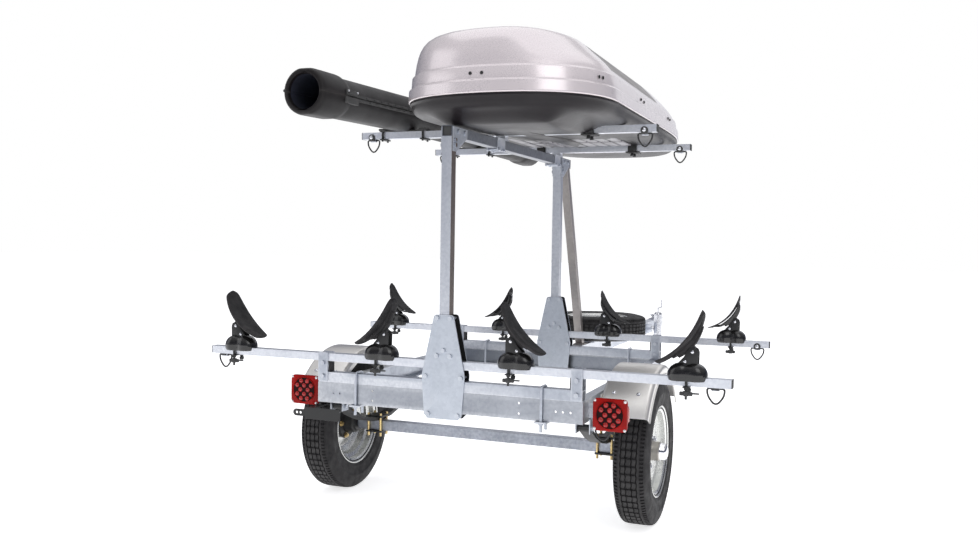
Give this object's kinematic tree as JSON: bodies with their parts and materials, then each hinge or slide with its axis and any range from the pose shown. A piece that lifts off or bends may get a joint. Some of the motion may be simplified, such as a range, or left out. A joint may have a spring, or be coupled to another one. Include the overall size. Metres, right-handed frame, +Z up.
{
  "type": "kayak trailer",
  "caption": "Light road trailer with cross bars on two levels, tilting hull saddles, a hinged cargo box, a gear tube, sprung axle and hitch.",
  "frame": {"origin": "on the ground under the middle of the overall box, on the trailer's centre line", "axes": "+X to the right as seen from behind, +Y forwards to the hitch, +Z up"},
  "size_m": [1.981, 4.0304, 1.7875],
  "materials": {
    "galvanised": "hot-dip galvanised, softly mottled",
    "silver": "warm bright silver",
    "rubber": "matt black",
    "tyre": "matt charcoal",
    "black_steel": "black coating",
    "black_plastic": "fine grained",
    "lid": "metallic silver gloss",
    "lens": "saturated red lens",
    "zinc": "bright zinc"
  },
  "bodies": {
    "trailer": {"rear_crossmember": "galvanised", "front_crossmember": "galvanised", "left_side_rail": "galvanised", "right_side_rail": "galvanised", "tongue": "galvanised", "axle": "galvanised", "left_leaf_spring": "black_steel", "right_leaf_spring": "black_steel", "left_fender": "silver", "right_fender": "silver", "left_tail_light": "lens", "right_tail_light": "lens", "plate_bracket": "black_steel", "rear_riser": "galvanised", "front_riser": "galvanised", "rear_load_bar": "galvanised", "front_load_bar": "galvanised", "rear_post_plates": "galvanised", "front_post_plates": "galvanised", "rear_post": "galvanised", "front_post": "galvanised", "upper_beam": "galvanised", "brace": "galvanised", "rear_upper_bar": "galvanised", "front_upper_bar": "galvanised", "spare_wheel": "tyre", "coupler": "zinc", "cargo_box_base": "black_plastic", "gear_tube_body": "black_plastic", "rear_saddle_1_base": "black_plastic", "rear_saddle_2_base": "black_plastic", "rear_saddle_3_base": "black_plastic", "rear_saddle_4_base": "black_plastic", "front_saddle_1_base": "black_plastic", "front_saddle_2_base": "black_plastic", "front_saddle_3_base": "black_plastic", "front_saddle_4_base": "black_plastic"},
    "left_wheel": {"left_rim": "zinc", "left_tyre": "tyre"},
    "right_wheel": {"right_rim": "zinc", "right_tyre": "tyre"},
    "rear_saddle_1_pad": {"rear_saddle_1_pad": "rubber"},
    "rear_saddle_2_pad": {"rear_saddle_2_pad": "rubber"},
    "rear_saddle_3_pad": {"rear_saddle_3_pad": "rubber"},
    "rear_saddle_4_pad": {"rear_saddle_4_pad": "rubber"},
    "front_saddle_1_pad": {"front_saddle_1_pad": "rubber"},
    "front_saddle_2_pad": {"front_saddle_2_pad": "rubber"},
    "front_saddle_3_pad": {"front_saddle_3_pad": "rubber"},
    "front_saddle_4_pad": {"front_saddle_4_pad": "rubber"},
    "lower_rear_left_ring": {"lower_rear_left_ring": "black_steel"},
    "lower_rear_right_ring": {"lower_rear_right_ring": "black_steel"},
    "lower_front_right_ring": {"lower_front_right_ring": "black_steel"},
    "upper_rear_left_ring": {"upper_rear_left_ring": "black_steel"},
    "upper_rear_right_ring": {"upper_rear_right_ring": "black_steel"},
    "upper_front_right_ring": {"upper_front_right_ring": "black_steel"},
    "cargo_box_lid": {"cargo_box_lid": "lid"},
    "gear_tube_lid": {"gear_tube_lid": "black_plastic"},
    "coupler_latch": {"coupler_latch": "zinc"},
    "jack": {"jack": "zinc"},
    "jack_leg": {"jack_leg": "zinc"}
  },
  "joints": [
    {"name": "left_wheel_spin", "type": "hinge", "parent": "trailer", "child": "left_wheel", "pos_m": [-0.631, -1.35515, 0.269], "axis": [1, 0, 0], "continuous": true},
    {"name": "right_wheel_spin", "type": "hinge", "parent": "trailer", "child": "right_wheel", "pos_m": [0.631, -1.35515, 0.269], "axis": [1, 0, 0], "continuous": true},
    {"name": "rear_saddle_1_tilt", "type": "hinge", "parent": "trailer", "child": "rear_saddle_1_pad", "pos_m": [-0.884, -1.75915, 0.6908], "axis": [0, 1, 0], "range_deg": [-12, 12]},
    {"name": "rear_saddle_2_tilt", "type": "hinge", "parent": "trailer", "child": "rear_saddle_2_pad", "pos_m": [-0.24, -1.75915, 0.6908], "axis": [0, 1, 0], "range_deg": [-12, 12]},
    {"name": "rear_saddle_3_tilt", "type": "hinge", "parent": "trailer", "child": "rear_saddle_3_pad", "pos_m": [0.248, -1.75915, 0.6908], "axis": [0, 1, 0], "range_deg": [-12, 12]},
    {"name": "rear_saddle_4_tilt", "type": "hinge", "parent": "trailer", "child": "rear_saddle_4_pad", "pos_m": [0.866, -1.75915, 0.6908], "axis": [0, 1, 0], "range_deg": [-12, 12]},
    {"name": "front_saddle_1_tilt", "type": "hinge", "parent": "trailer", "child": "front_saddle_1_pad", "pos_m": [-0.866, -0.47715, 0.6908], "axis": [0, 1, 0], "range_deg": [-12, 12]},
    {"name": "front_saddle_2_tilt", "type": "hinge", "parent": "trailer", "child": "front_saddle_2_pad", "pos_m": [-0.244, -0.47715, 0.6908], "axis": [0, 1, 0], "range_deg": [-12, 12]},
    {"name": "front_saddle_3_tilt", "type": "hinge", "parent": "trailer", "child": "front_saddle_3_pad", "pos_m": [0.244, -0.47715, 0.6908], "axis": [0, 1, 0], "range_deg": [-12, 12]},
    {"name": "front_saddle_4_tilt", "type": "hinge", "parent": "trailer", "child": "front_saddle_4_pad", "pos_m": [0.842, -0.47715, 0.6908], "axis": [0, 1, 0], "range_deg": [-12, 12]},
    {"name": "lower_rear_left_ring_swing", "type": "hinge", "parent": "trailer", "child": "lower_rear_left_ring", "pos_m": [-0.9405, -1.75915, 0.5762], "axis": [1, 0, 0], "range_deg": [-80, 80]},
    {"name": "lower_rear_right_ring_swing", "type": "hinge", "parent": "trailer", "child": "lower_rear_right_ring", "pos_m": [0.9405, -1.75915, 0.5762], "axis": [1, 0, 0], "range_deg": [-80, 80]},
    {"name": "lower_front_right_ring_swing", "type": "hinge", "parent": "trailer", "child": "lower_front_right_ring", "pos_m": [0.9405, -0.47715, 0.5762], "axis": [1, 0, 0], "range_deg": [-80, 80]},
    {"name": "upper_rear_left_ring_swing", "type": "hinge", "parent": "trailer", "child": "upper_rear_left_ring", "pos_m": [-0.5818, -1.23715, 1.4519], "axis": [1, 0, 0], "range_deg": [-80, 80]},
    {"name": "upper_rear_right_ring_swing", "type": "hinge", "parent": "trailer", "child": "upper_rear_right_ring", "pos_m": [0.5818, -1.23715, 1.4519], "axis": [1, 0, 0], "range_deg": [-80, 80]},
    {"name": "upper_front_right_ring_swing", "type": "hinge", "parent": "trailer", "child": "upper_front_right_ring", "pos_m": [0.5818, -0.49315, 1.4519], "axis": [1, 0, 0], "range_deg": [-80, 80]},
    {"name": "cargo_lid_hinge", "type": "hinge", "parent": "trailer", "child": "cargo_box_lid", "pos_m": [-0.2515, -1.23215, 1.536], "axis": [0, -1, 0], "range_deg": [0, 65]},
    {"name": "gear_tube_hinge", "type": "hinge", "parent": "trailer", "child": "gear_tube_lid", "pos_m": [-0.524, -0.84015, 1.5553], "axis": [0, -1, 0], "range_deg": [0, 100]},
    {"name": "coupler_latch_hinge", "type": "hinge", "parent": "trailer", "child": "coupler_latch", "pos_m": [0, 1.90235, 0.517], "axis": [-1, 0, 0], "range_deg": [0, 80]},
    {"name": "jack_swivel", "type": "hinge", "parent": "trailer", "child": "jack", "pos_m": [0.067, 1.49485, 0.4635], "axis": [1, 0, 0], "range_deg": [-90, 0]},
    {"name": "jack_leg_slide", "type": "slide", "parent": "jack", "child": "jack_leg", "axis": [0, 0, 1], "range_m": [0, 0.18]}
  ]
}
